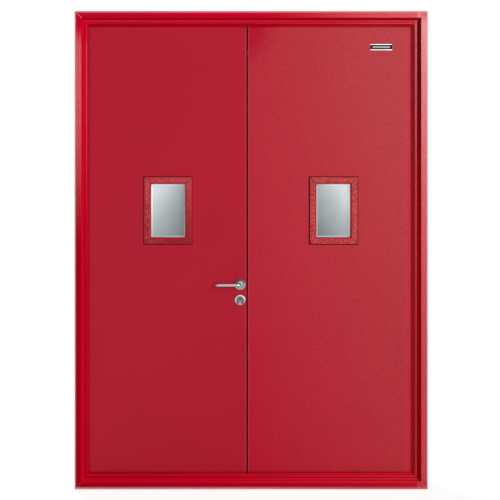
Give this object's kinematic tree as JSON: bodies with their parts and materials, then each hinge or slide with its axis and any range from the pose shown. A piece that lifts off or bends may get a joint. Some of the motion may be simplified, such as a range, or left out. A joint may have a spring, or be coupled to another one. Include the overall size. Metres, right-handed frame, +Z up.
{
  "type": "double fire door",
  "caption": "Double steel fire door in a four-sided pressed frame: flush red leaves that swing back, small glazed vision panels, and a round lever and lock on the active leaf.",
  "frame": {"origin": "under the middle of the sill, on the outer face of its central tie plate, at half the frame's depth", "axes": "+X to the right as seen from the push side, +Y through the door towards the pull side, +Z up"},
  "size_m": [1.65, 0.173, 2.235],
  "materials": {
    "red_paint": "semi-gloss fine-textured powder coat",
    "red_bead_paint": "semi-gloss coarse-textured powder coat",
    "stainless_steel": "satin",
    "nickel_brass": "nickel-plated",
    "black_seal": "matt",
    "fire_strip": "matt",
    "fire_glass": "polished, silvery"
  },
  "bodies": {
    "frame": {"frame_head": "red_paint", "frame_sill": "red_paint", "frame_jamb_left": "red_paint", "frame_jamb_right": "red_paint", "stop_seal_head": "black_seal", "stop_seal_sill": "black_seal", "stop_seal_jamb_left": "black_seal", "stop_seal_jamb_right": "black_seal", "fire_strip_head": "fire_strip", "fire_strip_jamb_left": "fire_strip", "fire_strip_jamb_right": "fire_strip", "left_hinge_low_frame_half": "stainless_steel", "left_hinge_middle_frame_half": "stainless_steel", "left_hinge_top_frame_half": "stainless_steel", "right_hinge_low_frame_half": "stainless_steel", "right_hinge_middle_frame_half": "stainless_steel", "right_hinge_top_frame_half": "stainless_steel"},
    "left_leaf": {"left_leaf_panel": "red_paint", "left_vision_bead_front": "red_bead_paint", "left_vision_bead_back": "red_bead_paint", "left_vision_glass": "fire_glass", "left_hinge_low_leaf_half": "stainless_steel", "left_hinge_middle_leaf_half": "stainless_steel", "left_hinge_top_leaf_half": "stainless_steel", "left_meeting_seal": "black_seal", "mortise_lock": "stainless_steel", "lock_latch": "nickel_brass", "lock_deadbolt": "stainless_steel", "lock_cylinder": "nickel_brass", "lever_rose_front": "stainless_steel", "lever_rose_back": "stainless_steel", "cylinder_escutcheon_front": "stainless_steel", "cylinder_escutcheon_back": "stainless_steel"},
    "lever": {"lever_front": "stainless_steel", "lever_back": "stainless_steel", "lever_spindle": "stainless_steel"},
    "right_leaf": {"right_leaf_panel": "red_paint", "right_vision_bead_front": "red_bead_paint", "right_vision_bead_back": "red_bead_paint", "right_vision_glass": "fire_glass", "right_hinge_low_leaf_half": "stainless_steel", "right_hinge_middle_leaf_half": "stainless_steel", "right_hinge_top_leaf_half": "stainless_steel", "right_meeting_seal": "black_seal", "strike_plate": "stainless_steel", "flush_bolt_top": "stainless_steel", "flush_bolt_bottom": "stainless_steel"}
  },
  "joints": [
    {"name": "left_leaf_swing", "type": "hinge", "parent": "frame", "child": "left_leaf", "pos_m": [-0.7795, 0.0665, 1.12], "axis": [0, 0, 1], "range_deg": [0, 110]},
    {"name": "right_leaf_swing", "type": "hinge", "parent": "frame", "child": "right_leaf", "pos_m": [0.7795, 0.0665, 1.12], "axis": [0, 0, -1], "range_deg": [0, 110]},
    {"name": "lever_turn", "type": "hinge", "parent": "left_leaf", "child": "lever", "pos_m": [-0.04905, 0.0325, 0.952], "axis": [0, -1, 0], "range_deg": [0, 45], "stiffness_Nm_per_rad": 1.5, "springref_deg": -28.65}
  ]
}
